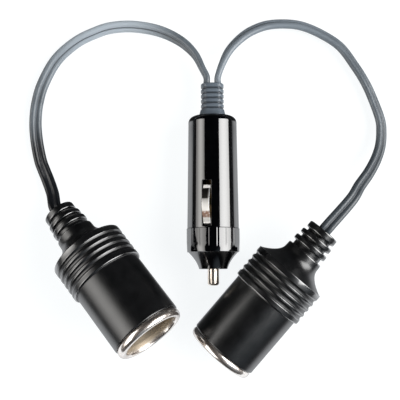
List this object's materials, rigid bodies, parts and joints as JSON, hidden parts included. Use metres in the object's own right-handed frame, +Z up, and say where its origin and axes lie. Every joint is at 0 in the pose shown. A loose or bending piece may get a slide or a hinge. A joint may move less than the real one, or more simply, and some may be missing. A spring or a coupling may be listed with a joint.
{
  "type": "car power socket splitter",
  "caption": "Black 12 V car power splitter: a fused plug with a spring pin and side contacts, and twin flat cords to round sockets lined with metal.",
  "frame": {"origin": "on the surface it lies on, under the centre of the box round the plug and the sockets, cords left out", "axes": "+Z up; +Y from the plug's nose to its cords; +X to the right socket"},
  "size_m": [0.1452, 0.1429, 0.0398],
  "materials": {
    "body_plastic": "polished black moulding",
    "housing_plastic": "satin-gloss black PVC moulding",
    "soft_plastic": "soft dark grey PVC",
    "cord_plastic": "smooth dark grey PVC",
    "pin_metal": "nickel plate",
    "strip_metal": "nickel-plated spring strip",
    "liner_metal": "nickel plate",
    "brass": "bare brass",
    "tinned_metal": "tin plate",
    "spring_steel": "drawn wire",
    "fuse_glass": "clear",
    "disc_board": "pressed insulating board",
    "lead_positive": "insulation",
    "lead_negative": "insulation"
  },
  "bodies": {
    "root": {"plug_body": "body_plastic", "rear_contact": "brass", "ground_strap": "brass", "plug_boot": "soft_plastic", "plug_positive_leads": "lead_positive", "plug_negative_leads": "lead_negative", "left_cord": "cord_plastic", "right_cord": "cord_plastic", "left_housing": "housing_plastic", "left_liner": "liner_metal", "left_insulator": "disc_board", "left_centre_contact": "brass", "left_rivet": "tinned_metal", "left_positive_lug": "brass", "left_ground_lug": "brass", "left_positive_lead": "lead_positive", "left_negative_lead": "lead_negative", "right_housing": "housing_plastic", "right_liner": "liner_metal", "right_insulator": "disc_board", "right_centre_contact": "brass", "right_rivet": "tinned_metal", "right_positive_lug": "brass", "right_ground_lug": "brass", "right_positive_lead": "lead_positive", "right_negative_lead": "lead_negative"},
    "spring_seat": {"pin_spring": "spring_steel"},
    "fuse_and_pin": {"centre_pin": "pin_metal", "fuse_glass": "fuse_glass", "fuse_caps": "tinned_metal", "fuse_wire": "tinned_metal"},
    "cap": {"nose_cap": "body_plastic"},
    "upper_contact": {"upper_side_contact": "strip_metal"},
    "lower_contact": {"lower_side_contact": "strip_metal"}
  },
  "joints": [
    {"name": "cap_travel", "type": "slide", "parent": "root", "child": "spring_seat", "axis": [0.0045, -0.9976, 0.0695], "range_m": [0, 0.0045]},
    {"name": "cap_turn", "type": "hinge", "parent": "spring_seat", "child": "cap", "pos_m": [0.0093, -0.00019, 0.01249], "axis": [0.0045, -0.9976, 0.0695], "range_deg": [0, 1080]},
    {"name": "pin_press", "type": "slide", "parent": "spring_seat", "child": "fuse_and_pin", "axis": [-0.0045, 0.9976, -0.0695], "range_m": [0, 0.003], "stiffness_N_per_m": 400, "springref_m": -0.004, "deforming": ["pin_spring"]},
    {"name": "upper_contact_press", "type": "hinge", "parent": "root", "child": "upper_contact", "pos_m": [0.00727, 0.00162, 0.01995], "axis": [-0.9658, -0.0224, -0.2582], "range_deg": [0, 10], "stiffness_Nm_per_rad": 0.25, "springref_deg": -5.73},
    {"name": "lower_contact_press", "type": "hinge", "parent": "root", "child": "lower_contact", "pos_m": [0.01132, 0.00059, 0.00485], "axis": [0.9658, 0.0224, 0.2582], "range_deg": [0, 10], "stiffness_Nm_per_rad": 0.25, "springref_deg": -5.73}
  ],
  "couplings": [
    {"joint": "cap_turn", "follows": "cap_travel", "rad_per_m": 4188.8}
  ]
}
